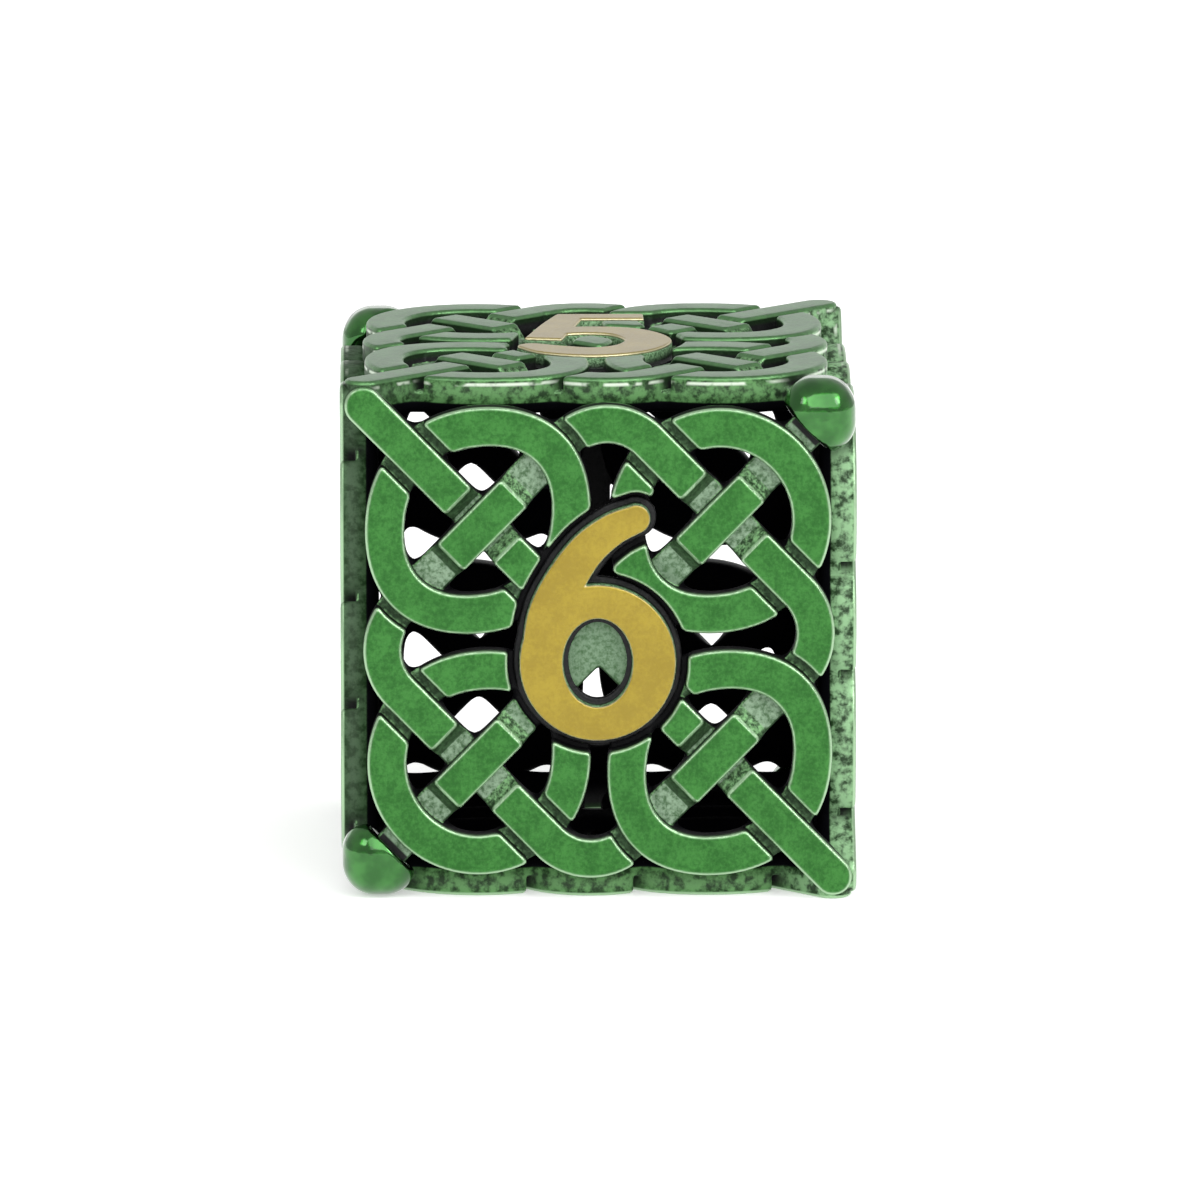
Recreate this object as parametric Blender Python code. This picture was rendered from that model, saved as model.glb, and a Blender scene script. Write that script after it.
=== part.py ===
"""A hollow six-sided die whose faces are pierced Celtic knots.

Six knot plates meet in mitres along the edges of a cube. Each plate has a numeral boss that
stands in a moat cut into its strands, with a gold face laid on it. Four round beads fill the
cube's corners that no diagonal strand reaches.

A face is drawn flat: x to the right of its numeral, y up, and z out of the cube, with z = 0
on the face itself. The knot is laid out along the face's diagonals, then turned by 45 degrees.
"""
import math

import bmesh
import bpy
from mathutils import Matrix, Vector

MM = 0.001

# the cube and its plates
DIE_SIZE = 16.0 * MM
HALF_SIZE = DIE_SIZE / 2
PLATE_DEPTH = 1.25 * MM
BACK_TAPER = 0.22 * MM
RELIEF = 0.45 * MM
SEAM_GAP = 0.04 * MM

# the four rings of a knot
RING_OFFSET = 3.74 * MM
RING_RADIUS = 2.83 * MM
RING_WIDTH = 1.23 * MM
RING_BULGE = 0.31 * MM
RING_STEPS = 28
LOBE_SHARPNESS = 6

# the long loop that runs through all four rings, a rounded rectangle along the diagonals
LOOP_HALF_LENGTH = 5.45 * MM
LOOP_HALF_WIDTH = 5.10 * MM
LOOP_CORNER_RADIUS = 1.84 * MM
LOOP_STRAND_WIDTH = 1.20 * MM
LOOP_CORNER_STEPS = 6

# the two straight diagonal strands
DIAGONAL_WIDTH = 1.18 * MM
DIAGONAL_END_STEPS = 6

# how a strand dives under another
CROSSING_GAP = 0.30 * MM
DIAGONAL_DIVE_TOP = 1.12 * MM
DIAGONAL_DIVE_FLOOR = 0.70 * MM
LOOP_DIVE_TOP = 1.38 * MM
LOOP_DIVE_FLOOR = 0.96 * MM
BRIDGE_TOP = 1.32 * MM
BRIDGE_FLOOR = 1.70 * MM

# numerals
MOAT_GAP = 0.37 * MM
MOAT_DEPTH = 0.60 * MM
COUNTER_GAP = 0.08 * MM
COUNTER_DEPTH = 0.46 * MM
FOOT_GAP = 0.20 * MM
FOOT_HEIGHT = 0.20 * MM
GOLD_THICKNESS = 0.10 * MM
NUMERAL_GAP = 0.03 * MM
CURVE_STEPS = 3
ROUND_END_STEPS = 5
COUNTER_STEPS = 24

# corner beads
BEAD_RADIUS = 1.03 * MM
BEAD_RINGS = 8
BEAD_SEGMENTS = 16

# a cutter runs past the face it cuts by this much
OVERRUN = 0.5 * MM

GREEN = (0.055, 0.30, 0.045, 1.0)
DARK_GREEN = (0.03, 0.12, 0.035, 1.0)
GOLD = (0.55, 0.36, 0.035, 1.0)

# each face: name, number, outward normal and the numeral's up direction
FACES = (
    ("front", 6, (0, -1, 0), (0, 0, 1)),
    ("back", 1, (0, 1, 0), (0, 0, 1)),
    ("top", 5, (0, 0, 1), (0, 1, 0)),
    ("bottom", 2, (0, 0, -1), (0, -1, 0)),
    ("left", 3, (-1, 0, 0), (0, 0, 1)),
    ("right", 4, (1, 0, 0), (0, 0, 1)),
)

# Numerals are drawn with strokes, in millimetres on the face. A stroke is a list of
# (x, y, half width), followed by whether it is curved and whether its ends are round.
# An oval is its centre, its outer half axes and its inner half axes.
NUMERAL_STROKES = {
    1: (
        (((0.25, -2.95, 0.66), (0.25, 4.15, 0.66)), False, (False, False)),
        (((0.10, 3.55, 0.60), (-0.75, 3.05, 0.55), (-1.40, 2.45, 0.45)), True, (False, True)),
    ),
    2: (
        (((-1.65, 2.35, 0.50), (-1.25, 3.15, 0.58), (-0.30, 3.62, 0.62), (0.85, 3.30, 0.68),
          (1.38, 2.25, 0.70), (0.98, 1.05, 0.68), (0.05, -0.35, 0.66), (-1.00, -1.65, 0.64),
          (-1.55, -2.36, 0.60)), True, (True, False)),
        (((-2.15, -2.38, 0.62), (2.15, -2.38, 0.62)), False, (False, False)),
    ),
    3: (
        (((-1.70, 3.05, 0.48), (-0.80, 3.58, 0.60), (0.35, 3.48, 0.66), (1.15, 2.60, 0.70),
          (0.85, 1.55, 0.66), (-0.35, 1.05, 0.55)), True, (True, True)),
        (((-0.35, 0.95, 0.55), (0.85, 0.70, 0.66), (1.62, -0.35, 0.72), (1.30, -1.65, 0.72),
          (0.10, -2.32, 0.70), (-1.20, -2.02, 0.60), (-2.00, -1.35, 0.45)), True, (True, True)),
    ),
    4: (
        (((0.70, -2.95, 0.64), (0.70, 4.15, 0.64)), False, (False, False)),
        (((0.55, 3.75, 0.52), (-1.85, -0.55, 0.52)), False, (True, True)),
        (((-2.30, -0.95, 0.58), (2.30, -0.95, 0.58)), False, (False, False)),
    ),
    5: (
        (((-1.15, 4.62, 0.46), (1.62, 4.62, 0.46)), False, (False, False)),
        (((-0.72, 4.90, 0.46), (-1.12, 2.95, 0.56), (-1.62, 0.35, 0.60)), True, (False, False)),
        (((-1.30, 1.72, 0.56), (-0.20, 2.02, 0.62), (1.05, 1.62, 0.70), (1.68, 0.10, 0.74),
          (1.15, -1.45, 0.74), (0.00, -2.14, 0.76), (-1.20, -1.76, 0.72),
          (-1.98, -1.02, 0.46)), True, (False, True)),
    ),
    6: (
        (((1.14, 3.78, 0.44), (0.40, 3.45, 0.50), (-0.38, 2.82, 0.56), (-1.06, 1.86, 0.62),
          (-1.56, 0.80, 0.65), (-1.76, -0.40, 0.64)), True, (True, False)),
    ),
}
NUMERAL_OVALS = {6: (((-0.04, -0.64), (2.42, 2.40), (1.08, 1.36)),)}


def clear_scene():
    for item in list(bpy.data.objects):
        bpy.data.objects.remove(item, do_unlink=True)


def make_material(name, colour, roughness, metallic):
    material = bpy.data.materials.new(name)
    material.use_nodes = True
    shader = material.node_tree.nodes["Principled BSDF"]
    shader.inputs["Base Color"].default_value = colour
    shader.inputs["Roughness"].default_value = roughness
    shader.inputs["Metallic"].default_value = metallic
    return material


def object_from_bmesh(name, work):
    bmesh.ops.recalc_face_normals(work, faces=work.faces)
    mesh = bpy.data.meshes.new(name)
    work.to_mesh(mesh)
    work.free()
    item = bpy.data.objects.new(name, mesh)
    bpy.context.scene.collection.objects.link(item)
    return item


def combine(target, tool, operation):
    """Join, cut or trim target with tool, and remove the tool."""
    modifier = target.modifiers.new("combine", 'BOOLEAN')
    modifier.operation = operation
    modifier.solver = 'EXACT'
    modifier.object = tool
    bpy.context.view_layer.update()
    graph = bpy.context.evaluated_depsgraph_get()
    result = bpy.data.meshes.new_from_object(target.evaluated_get(graph))
    target.modifiers.clear()
    target.data = result
    bpy.data.objects.remove(tool, do_unlink=True)


def join_all(items):
    first = items[0]
    for other in items[1:]:
        combine(first, other, 'UNION')
    return first


def prism(name, outline, bottom, top):
    """A closed solid over a flat outline, given as a list of (x, y)."""
    work = bmesh.new()
    low = [work.verts.new((x, y, bottom)) for x, y in outline]
    high = [work.verts.new((x, y, top)) for x, y in outline]
    work.faces.new(low)
    work.faces.new(high)
    for index in range(len(outline)):
        after = (index + 1) % len(outline)
        work.faces.new((low[index], low[after], high[after], high[index]))
    return object_from_bmesh(name, work)


def tube_between(name, sections):
    """A closed ring-shaped solid through four outlines, given as (list of (x, y), height)."""
    work = bmesh.new()
    loops = []
    for outline, height in sections:
        loops.append([work.verts.new((x, y, height)) for x, y in outline])
    count = len(loops[0])
    for side in range(4):
        first = loops[side]
        second = loops[(side + 1) % 4]
        for index in range(count):
            after = (index + 1) % count
            work.faces.new((first[index], first[after], second[after], second[index]))
    return object_from_bmesh(name, work)


def tube_prism(name, outer, inner, bottom, top):
    return tube_between(name, ((outer, bottom), (outer, top), (inner, top), (inner, bottom)))


def box(name, low, high):
    outline = ((low[0], low[1]), (high[0], low[1]), (high[0], high[1]), (low[0], high[1]))
    return prism(name, outline, low[2], high[2])


# ---- the knot ------------------------------------------------------------------------------

def ring_outline(centre, lobes, shift):
    """A ring's mid line moved outwards by shift; it bulges towards each lobe's direction."""
    points = []
    for step in range(RING_STEPS):
        angle = 2 * math.pi * step / RING_STEPS
        radius = RING_RADIUS + shift
        for lobe in lobes:
            radius += RING_BULGE * max(0.0, math.cos(angle - lobe)) ** LOBE_SHARPNESS
        points.append((centre[0] + radius * math.cos(angle), centre[1] + radius * math.sin(angle)))
    return points


def strand(name, stations, width, closed):
    """A band along stations (x, y, direction angle, height of its top), narrower at its back."""
    back = 1 - 2 * BACK_TAPER / width
    work = bmesh.new()
    sections = []
    for x, y, angle, top in stations:
        side = Vector((-math.sin(angle), math.cos(angle), 0)) * width / 2
        middle = Vector((x, y, 0))
        corners = []
        for offset, height in ((side, top), (-side, top),
                               (-side * back, -PLATE_DEPTH), (side * back, -PLATE_DEPTH)):
            corners.append(work.verts.new(middle + offset + Vector((0, 0, height))))
        sections.append(corners)
    count = len(sections)
    for index in range(count if closed else count - 1):
        first = sections[index]
        second = sections[(index + 1) % count]
        for side in range(4):
            after = (side + 1) % 4
            work.faces.new((first[side], first[after], second[after], second[side]))
    if not closed:
        work.faces.new(sections[0])
        work.faces.new(sections[-1])
    return object_from_bmesh(name, work)


def knot_ring(name, centre, lobes):
    shifts = ((RING_WIDTH / 2 - BACK_TAPER, -PLATE_DEPTH), (RING_WIDTH / 2, 0),
              (-RING_WIDTH / 2, 0), (BACK_TAPER - RING_WIDTH / 2, -PLATE_DEPTH))
    return tube_between(name, [(ring_outline(centre, lobes, shift), height) for shift, height in shifts])


def ring_trench(centre, lobes):
    """The cutter that parts a strand from the ring which passes over it."""
    outer = ring_outline(centre, lobes, RING_WIDTH / 2 + CROSSING_GAP)
    inner = ring_outline(centre, lobes, 0)
    return tube_prism("trench", outer, inner, -RELIEF, OVERRUN)


def upright_rings(ring_distance):
    """The rings that the main diagonal crosses; the diagonal's trench cuts them."""
    rings = []
    trench_half = DIAGONAL_WIDTH / 2 + CROSSING_GAP
    reach = RING_RADIUS + RING_WIDTH
    for sign in (-1, 1):
        middle = sign * ring_distance
        ring = knot_ring("ring", (0, middle), (0, math.pi))
        trench = box("trench", (-trench_half, middle - reach, -RELIEF),
                     (trench_half, middle + reach, OVERRUN))
        combine(ring, trench, 'DIFFERENCE')
        rings.append(ring)
    return rings


def level_rings(ring_distance):
    """The rings that the loop crosses on its way over; the loop's trench cuts them."""
    rings = []
    trench_half = LOOP_STRAND_WIDTH / 2 + CROSSING_GAP
    reach = RING_RADIUS + RING_WIDTH
    for sign in (-1, 1):
        ring = knot_ring("ring", (sign * ring_distance, 0), (math.pi if sign > 0 else 0,))
        middle = sign * LOOP_HALF_LENGTH
        trench = box("trench", (middle - trench_half, -reach, -RELIEF),
                     (middle + trench_half, reach, OVERRUN))
        combine(ring, trench, 'DIFFERENCE')
        rings.append(ring)
    return rings


def dive_profile(centre, floor_half, top_half):
    """Heights along a strand that dives at centre, as (distance, height)."""
    return [(centre - top_half, 0), (centre - floor_half, -RELIEF),
            (centre + floor_half, -RELIEF), (centre + top_half, 0)]


def bridge_profile(centre, top_half, floor_half):
    """Heights along a strand that rises to the face at centre and is low around it."""
    return [(centre - floor_half, -RELIEF), (centre - top_half, 0),
            (centre + top_half, 0), (centre + floor_half, -RELIEF)]


def main_diagonal():
    """Runs along y from one cube corner to the other, over the rings and under the loop."""
    end = (HALF_SIZE - DIAGONAL_WIDTH / 2) * math.sqrt(2)
    heights = [(-end, 0)]
    for middle in (-LOOP_HALF_WIDTH, 0, LOOP_HALF_WIDTH):
        heights += dive_profile(middle, DIAGONAL_DIVE_FLOOR, DIAGONAL_DIVE_TOP)
    heights += [(end, 0)]
    stations = [(0, distance, math.pi / 2, top) for distance, top in heights]
    parts = [strand("diagonal", stations, DIAGONAL_WIDTH, False)]
    radius = DIAGONAL_WIDTH / 2
    for sign in (-1, 1):
        outline = []
        for step in range(DIAGONAL_END_STEPS * 2):
            angle = math.pi * (step + 0.5) / DIAGONAL_END_STEPS
            outline.append((radius * math.cos(angle), sign * end + radius * math.sin(angle)))
        parts.append(prism("strand end", outline, -PLATE_DEPTH, 0))
    return join_all(parts)


def cross_diagonal(ring_distance):
    """Runs along x between two corner beads, under the rings and over the loop."""
    end = (HALF_SIZE - BEAD_RADIUS) * math.sqrt(2)
    heights = [(-end, -RELIEF)]
    heights += bridge_profile(-ring_distance, BRIDGE_TOP, BRIDGE_FLOOR)
    heights += bridge_profile(0, DIAGONAL_DIVE_FLOOR, DIAGONAL_DIVE_TOP)
    heights += bridge_profile(ring_distance, BRIDGE_TOP, BRIDGE_FLOOR)
    heights += [(end, -RELIEF)]
    stations = [(distance, 0, 0.0, top) for distance, top in heights]
    return strand("diagonal", stations, DIAGONAL_WIDTH, False)


def loop_stations():
    """The long loop, anticlockwise from the middle of its right-hand side."""
    radius = LOOP_CORNER_RADIUS
    reach_x = LOOP_HALF_LENGTH - radius
    reach_y = LOOP_HALF_WIDTH - radius
    hidden = RING_RADIUS + RING_BULGE
    long_side = [(BRIDGE_TOP, 0), (BRIDGE_FLOOR, -RELIEF),
                 (hidden - RING_WIDTH / 4, -RELIEF), (hidden, 0)]
    short_side = [(LOOP_DIVE_FLOOR, -RELIEF), (LOOP_DIVE_TOP, 0)]
    stations = []
    for turn in range(4):
        angle = math.pi / 2 * turn
        along_y = turn % 2 == 0
        side = short_side if along_y else long_side
        sign = 1 if turn < 2 else -1
        profile = [(-distance, top) for distance, top in reversed(side)] + side
        for distance, top in profile:
            if along_y:
                stations.append((sign * LOOP_HALF_LENGTH, sign * distance, angle + math.pi / 2, top))
            else:
                stations.append((-sign * distance, sign * LOOP_HALF_WIDTH, angle + math.pi / 2, top))
        centre_x = reach_x if turn in (0, 3) else -reach_x
        centre_y = reach_y if turn < 2 else -reach_y
        for step in range(LOOP_CORNER_STEPS + 1):
            swing = angle + math.pi / 2 * step / LOOP_CORNER_STEPS
            stations.append((centre_x + radius * math.cos(swing), centre_y + radius * math.sin(swing),
                             swing + math.pi / 2, 0))
    return stations


def long_loop(ring_distance):
    loop = strand("loop", loop_stations(), LOOP_STRAND_WIDTH, True)
    for sign in (-1, 1):
        combine(loop, ring_trench((0, sign * ring_distance), (0, math.pi)), 'DIFFERENCE')
    return loop


def mitre_block():
    """The part of the cube that belongs to one face: a frustum with 45-degree sides."""
    work = bmesh.new()
    loops = []
    for height in (-PLATE_DEPTH - OVERRUN, OVERRUN):
        reach = HALF_SIZE + height - SEAM_GAP / math.sqrt(2)
        corners = ((-reach, -reach), (reach, -reach), (reach, reach), (-reach, reach))
        loops.append([work.verts.new((x, y, height)) for x, y in corners])
    work.faces.new(loops[0])
    work.faces.new(loops[1])
    for index in range(4):
        after = (index + 1) % 4
        work.faces.new((loops[0][index], loops[0][after], loops[1][after], loops[1][index]))
    return object_from_bmesh("mitre", work)


def bead_solid(name, centre, radius):
    work = bmesh.new()
    bmesh.ops.create_uvsphere(work, u_segments=BEAD_SEGMENTS, v_segments=BEAD_RINGS, radius=radius)
    bmesh.ops.translate(work, verts=work.verts, vec=centre)
    return object_from_bmesh(name, work)


def blank_knot():
    """One knot plate without its moat, with the main diagonal from top left to bottom right."""
    ring_distance = RING_OFFSET * math.sqrt(2)
    pieces = upright_rings(ring_distance) + level_rings(ring_distance)
    pieces += [long_loop(ring_distance), main_diagonal(), cross_diagonal(ring_distance)]
    knot = join_all(pieces)
    knot.data.transform(Matrix.Rotation(math.pi / 4, 4, 'Z'))
    combine(knot, mitre_block(), 'INTERSECT')
    reach = HALF_SIZE - BEAD_RADIUS
    for sign in (-1, 1):
        pocket = bead_solid("pocket", (sign * reach, sign * reach, -BEAD_RADIUS), BEAD_RADIUS + SEAM_GAP)
        combine(knot, pocket, 'DIFFERENCE')
    knot.name = "blank"
    return knot


# ---- numerals ------------------------------------------------------------------------------

def smooth_points(points):
    """Catmull-Rom points through (x, y, half width) triples."""
    padded = [Vector(points[0]) * 2 - Vector(points[1])]
    padded += [Vector(point) for point in points]
    padded += [Vector(points[-1]) * 2 - Vector(points[-2])]
    result = []
    for index in range(1, len(padded) - 2):
        before, start, end, after = padded[index - 1:index + 3]
        for step in range(CURVE_STEPS):
            t = step / CURVE_STEPS
            result.append(0.5 * (2 * start + (end - before) * t
                                 + (2 * before - 5 * start + 4 * end - after) * t ** 2
                                 + (3 * start - before - 3 * end + after) * t ** 3))
    result.append(padded[-2])
    return result


def stroke_outline(points, curved, round_ends, growth):
    """The outline of one stroke in metres, made wider all round by growth."""
    if curved:
        line = smooth_points(points)
    else:
        line = [Vector(point) for point in points]
    line = [point * MM for point in line]
    middles = [Vector((point.x, point.y)) for point in line]
    halves = [point.z + growth for point in line]
    tangents = []
    for index in range(len(middles)):
        before = middles[max(index - 1, 0)]
        after = middles[min(index + 1, len(middles) - 1)]
        tangents.append((after - before).normalized())
    if not round_ends[0]:
        middles[0] = middles[0] - tangents[0] * growth
    if not round_ends[1]:
        middles[-1] = middles[-1] + tangents[-1] * growth
    left = []
    right = []
    for middle, half, tangent in zip(middles, halves, tangents):
        side = Vector((-tangent.y, tangent.x)) * half
        left.append(middle + side)
        right.append(middle - side)
    outline = list(right)
    if round_ends[1]:
        outline += end_arc(middles[-1], tangents[-1], halves[-1])
    outline += reversed(left)
    if round_ends[0]:
        outline += end_arc(middles[0], -tangents[0], halves[0])
    return [(point.x, point.y) for point in outline]


def end_arc(middle, direction, radius):
    """Points of a half circle, anticlockwise, bulging towards direction, without its ends."""
    start = math.atan2(direction.y, direction.x) - math.pi / 2
    arc = []
    for step in range(1, ROUND_END_STEPS):
        angle = start + math.pi * step / ROUND_END_STEPS
        arc.append(middle + Vector((math.cos(angle), math.sin(angle))) * radius)
    return arc


def oval_outline(centre, half_axes, growth):
    points = []
    for step in range(COUNTER_STEPS):
        angle = 2 * math.pi * step / COUNTER_STEPS
        points.append((centre[0] * MM + (half_axes[0] * MM + growth) * math.cos(angle),
                       centre[1] * MM + (half_axes[1] * MM + growth) * math.sin(angle)))
    return points


def numeral_solid(name, number, growth, bottom, top):
    """The numeral as a solid from bottom to top, made wider all round by growth."""
    parts = []
    for centre, outer, inner in NUMERAL_OVALS.get(number, ()):
        parts.append(tube_prism(name, oval_outline(centre, outer, growth),
                                oval_outline(centre, inner, -growth), bottom, top))
    for points, curved, round_ends in NUMERAL_STROKES[number]:
        parts.append(prism(name, stroke_outline(points, curved, round_ends, growth), bottom, top))
    solid = join_all(parts)
    solid.name = name
    return solid


def counter_solid(oval, growth, bottom):
    """A solid over one of the numeral's counters, made wider all round by growth."""
    centre, outer, inner = oval
    return prism("counter", oval_outline(centre, inner, growth), bottom, OVERRUN * 2)


def cut_moat(plate, number):
    """Lowers the strands inside the numeral's counters, and cuts the moat its boss stands in."""
    moat = numeral_solid("moat", number, MOAT_GAP, -MOAT_DEPTH, OVERRUN)
    for oval in NUMERAL_OVALS.get(number, ()):
        combine(plate, counter_solid(oval, MOAT_GAP / 2, -COUNTER_DEPTH), 'DIFFERENCE')
        combine(moat, counter_solid(oval, -COUNTER_GAP, -MOAT_DEPTH - OVERRUN), 'DIFFERENCE')
    combine(plate, moat, 'DIFFERENCE')


def numeral_boss(name, number):
    bottom = -MOAT_DEPTH + NUMERAL_GAP
    foot = numeral_solid(name, number, FOOT_GAP, bottom, bottom + FOOT_HEIGHT)
    for oval in NUMERAL_OVALS.get(number, ()):
        combine(foot, counter_solid(oval, -COUNTER_GAP / 2, bottom - OVERRUN), 'DIFFERENCE')
    riser = numeral_solid("riser", number, 0, bottom, -GOLD_THICKNESS - NUMERAL_GAP)
    combine(foot, riser, 'UNION')
    return foot


# ---- the assembly --------------------------------------------------------------------------

def face_matrix(normal, up):
    """Turns a flat face drawing into its place on the cube."""
    outward = Vector(normal)
    upward = Vector(up)
    rightward = upward.cross(outward)
    turn = Matrix((rightward, upward, outward)).transposed().to_4x4()
    return Matrix.Translation(outward * HALF_SIZE) @ turn


def knot_turn(normal, up):
    """A quarter turn where the numeral's top left corner is a bead's and not a strand's."""
    outward = Vector(normal)
    upward = Vector(up)
    corner = outward + upward - upward.cross(outward)
    strand_corner = corner.x * corner.y * corner.z > 0
    return Matrix.Identity(4) if strand_corner else Matrix.Rotation(math.pi / 2, 4, 'Z')


def finish_piece(item, material, parent):
    item.data.materials.clear()
    item.data.materials.append(material)
    item.data.shade_smooth()
    item.data.set_sharp_from_angle(angle=math.radians(30))
    item.parent = parent


def build_face(name, number, normal, up, knot, materials, die):
    place = face_matrix(normal, up)
    plate = bpy.data.objects.new(f"{name}_knot_plate", knot.data.copy())
    bpy.context.scene.collection.objects.link(plate)
    plate.data.transform(knot_turn(normal, up))
    cut_moat(plate, number)
    boss = numeral_boss(f"numeral_{number}_boss", number)
    gold = numeral_solid(f"numeral_{number}_gold_face", number, 0, -GOLD_THICKNESS, 0)
    for item, material in ((plate, "green"), (boss, "dark green"), (gold, "gold")):
        finish_piece(item, materials[material], die)
        item.matrix_world = place


def build_beads(material, die):
    reach = HALF_SIZE - BEAD_RADIUS
    corners = (("front_right_top", 1, -1, 1), ("front_left_bottom", -1, -1, -1),
               ("back_left_top", -1, 1, 1), ("back_right_bottom", 1, 1, -1))
    for name, x, y, z in corners:
        bead = bead_solid(f"{name}_corner_bead", (0, 0, 0), BEAD_RADIUS)
        finish_piece(bead, material, die)
        bead.location = Vector((x, y, z)) * reach


def main():
    clear_scene()
    materials = {
        "green": make_material("green plating", GREEN, 0.38, 0.55),
        "dark green": make_material("dark green plating", DARK_GREEN, 0.5, 0.5),
        "gold": make_material("gold enamel", GOLD, 0.4, 0.6),
    }
    die = bpy.data.objects.new("die", None)
    bpy.context.scene.collection.objects.link(die)
    knot = blank_knot()
    for name, number, normal, up in FACES:
        build_face(name, number, normal, up, knot, materials, die)
    build_beads(materials["green"], die)
    bpy.data.objects.remove(knot, do_unlink=True)


main()
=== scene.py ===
import math

import bpy
import numpy as np
from mathutils import Matrix, Vector


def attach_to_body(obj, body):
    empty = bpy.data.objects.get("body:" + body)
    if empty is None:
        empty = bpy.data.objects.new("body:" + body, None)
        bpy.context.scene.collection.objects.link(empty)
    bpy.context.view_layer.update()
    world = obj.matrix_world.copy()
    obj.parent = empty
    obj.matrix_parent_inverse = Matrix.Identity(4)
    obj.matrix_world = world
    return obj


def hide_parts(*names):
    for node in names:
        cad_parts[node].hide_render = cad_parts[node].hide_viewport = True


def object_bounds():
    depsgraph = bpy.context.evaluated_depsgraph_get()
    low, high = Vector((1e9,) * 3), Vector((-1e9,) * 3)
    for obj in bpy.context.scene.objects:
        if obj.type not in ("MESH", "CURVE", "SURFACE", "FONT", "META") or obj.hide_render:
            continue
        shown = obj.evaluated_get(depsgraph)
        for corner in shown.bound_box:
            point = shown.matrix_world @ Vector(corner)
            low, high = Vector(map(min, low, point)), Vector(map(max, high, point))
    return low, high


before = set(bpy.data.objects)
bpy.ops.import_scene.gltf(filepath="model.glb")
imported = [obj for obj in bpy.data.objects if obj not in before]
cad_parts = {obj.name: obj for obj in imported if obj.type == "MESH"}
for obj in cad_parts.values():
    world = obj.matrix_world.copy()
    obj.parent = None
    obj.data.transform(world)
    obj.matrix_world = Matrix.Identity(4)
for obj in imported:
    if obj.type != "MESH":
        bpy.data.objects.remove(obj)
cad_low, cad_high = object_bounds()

# The die's fields are worked out in millimetres on a 16 mm cube, then scaled to the frame.
# In a field, negative is inside.
HALF = 8.0
MM = (cad_high[0] - cad_low[0]) / (2 * HALF)

# the die stands a little taller than it is wide
TALLER = 1.021

# how finely the surfaces are sampled, in millimetres
PLATE_CELL = 0.072
PLATE_KEEP = 0.38
NUMERAL_CELL = 0.045
NUMERAL_KEEP = 0.35
BOSS_KEEP = 0.30
BEAD_CELL = 0.05
BEAD_KEEP = 0.6
MARGIN = 0.2

# the knot, as the CAD has it but for a slightly lower relief and slightly deeper trenches
PLATE_DEPTH = 1.25
RELIEF = 0.42
TRENCH_DEPTH = 0.50
RING_OFFSET = 3.74
RING_RADIUS = 2.83
RING_WIDTH = 1.23
RING_BULGE = 0.31
LOBE_SHARPNESS = 6
LOOP_HALF_LENGTH = 5.45
LOOP_HALF_WIDTH = 5.10
LOOP_CORNER_RADIUS = 1.84
LOOP_STRAND_WIDTH = 1.20
DIAGONAL_WIDTH = 1.18
CROSSING_GAP = 0.30
DIAGONAL_DIVE_TOP = 1.12
DIAGONAL_DIVE_FLOOR = 0.70
LOOP_DIVE_TOP = 1.38
LOOP_DIVE_FLOOR = 0.96
BRIDGE_TOP = 1.32
BRIDGE_FLOOR = 1.70

# the numerals, as the CAD has them but for a slightly deeper moat and a lower foot
MOAT_GAP = 0.37
MOAT_DEPTH = 0.64
COUNTER_GAP = 0.08
COUNTER_DEPTH = 0.46
COUNTER_GROWTH = 0.15
FOOT_GAP = 0.20
FOOT_TOP = -0.45
FOOT_ROUNDING = 0.08
BOSS_GROWTH = 0.012
BOSS_OVERLAP = 0.02
BOSS_ROOT = 0.03
GOLD_DEPTH = 0.10
NUMERAL_ACROSS = (-3.0, 3.0)
NUMERAL_ALONG = (-3.8, 5.6)
CURVE_STEPS = 8

# the beads, a little fuller than the CAD's and set further in
BEAD_RADIUS = 1.03
BEAD_SWELL = 1.13
BEAD_INSET = 0.17
BEAD_ROUNDNESS = 0.85
BEAD_FLAT = 9.10
BEAD_FLAT_ROUNDING = 0.12

# the studio: name, place, size and power of each lamp, in the frame's metres and watts
LAMPS = (
    ("key", (0.16, -0.42, 0.36), (0.80, 0.50), 2.45),
    ("left", (-0.34, -0.36, 0.34), (0.18, 0.20), 0.4),
    ("right", (0.40, -0.28, 0.30), (0.16, 0.20), 0.5),
    ("behind", (0.0, 0.60, 0.13), (1.20, 0.20), 0.35),
)
SKY_STRENGTH = 0.56
PAPER_HALF = 0.6
PAPER_CELLS = 6
PAPER_GLOW = 0.45

# the camera: degrees, metres, and millimetres for the lens and for the aim beside the centre
CAMERA_ELEVATION = 10.56
CAMERA_AZIMUTH = -0.97
CAMERA_DISTANCE = 0.4063
LENS = 386.5
SENSOR = 36.0
AIM_RIGHT = 0.163
AIM_DOWN = 0.151

# softness of the cast metal: the back of a strand is round, but sharp near the cube's edges
EDGE_ROUNDING = 0.13
BACK_ROUNDING = 0.50
SHARP_BACK = 0.03
ROUND_BACK_REACH = 5.9
SHARP_BACK_REACH = 6.5
CUBE_ROUNDING = 0.30
TIP_INSET = 0.20
SEAM_OVERLAP = 0.05
GOLD_ROUNDING = 0.07
SOFT_REACH = 0.29
SOFT_SHRINK = 0.05
SOFT_START = -0.60
SOFT_FULL = -0.90

FACES = (
    ("front", 6, (0, -1, 0), (0, 0, 1)),
    ("back", 1, (0, 1, 0), (0, 0, 1)),
    ("top", 5, (0, 0, 1), (0, 1, 0)),
    ("bottom", 2, (0, 0, -1), (0, -1, 0)),
    ("left", 3, (-1, 0, 0), (0, 0, 1)),
    ("right", 4, (1, 0, 0), (0, 0, 1)),
)

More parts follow.
